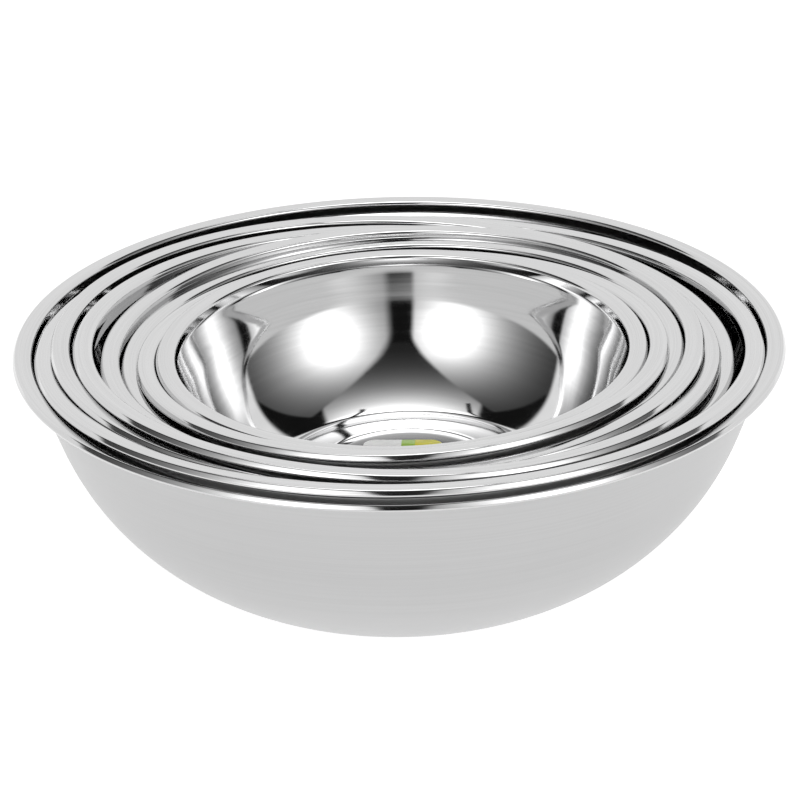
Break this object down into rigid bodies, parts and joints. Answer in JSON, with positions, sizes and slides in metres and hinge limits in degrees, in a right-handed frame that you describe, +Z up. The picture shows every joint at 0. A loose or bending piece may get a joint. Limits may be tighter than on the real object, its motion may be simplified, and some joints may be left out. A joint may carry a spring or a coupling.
{
  "type": "nest of mixing bowls",
  "caption": "Nest of pressed stainless steel mixing bowls with flat hemmed rims; each bowl lifts straight out of the next larger one.",
  "frame": {"origin": "centre of the largest bowl's base, on the surface that it stands on", "axes": "+Z up along the axis of the largest bowl, -Y towards the front of the nest"},
  "size_m": [0.3863, 0.3864, 0.124],
  "materials": {
    "steel": "mirror-polished inside and on the rim, satin outside",
    "label": "printed self-adhesive label, white with a green and a yellow field"
  },
  "bodies": {
    "bowl_38": {"bowl_38": "steel"},
    "bowl_36": {"bowl_36": "steel"},
    "bowl_34": {"bowl_34": "steel"},
    "bowl_32": {"bowl_32": "steel"},
    "bowl_30": {"bowl_30": "steel"},
    "bowl_28": {"bowl_28": "steel"},
    "bowl_26": {"bowl_26": "steel"},
    "bowl_24": {"bowl_24": "steel", "label": "label"}
  },
  "joints": [
    {"name": "lift_bowl_36", "type": "slide", "parent": "bowl_38", "child": "bowl_36", "axis": [0, 0, 1], "range_m": [0, 0.125]},
    {"name": "lift_bowl_34", "type": "slide", "parent": "bowl_36", "child": "bowl_34", "axis": [0, 0, 1], "range_m": [0, 0.12]},
    {"name": "lift_bowl_32", "type": "slide", "parent": "bowl_34", "child": "bowl_32", "axis": [0, 0, 1], "range_m": [0, 0.115]},
    {"name": "lift_bowl_30", "type": "slide", "parent": "bowl_32", "child": "bowl_30", "axis": [0, 0, 1], "range_m": [0, 0.11]},
    {"name": "lift_bowl_28", "type": "slide", "parent": "bowl_30", "child": "bowl_28", "axis": [0, 0, 1], "range_m": [0, 0.105]},
    {"name": "lift_bowl_26", "type": "slide", "parent": "bowl_28", "child": "bowl_26", "axis": [0, 0, 1], "range_m": [0, 0.095]},
    {"name": "lift_bowl_24", "type": "slide", "parent": "bowl_26", "child": "bowl_24", "axis": [0, 0, 1], "range_m": [0, 0.09]}
  ]
}
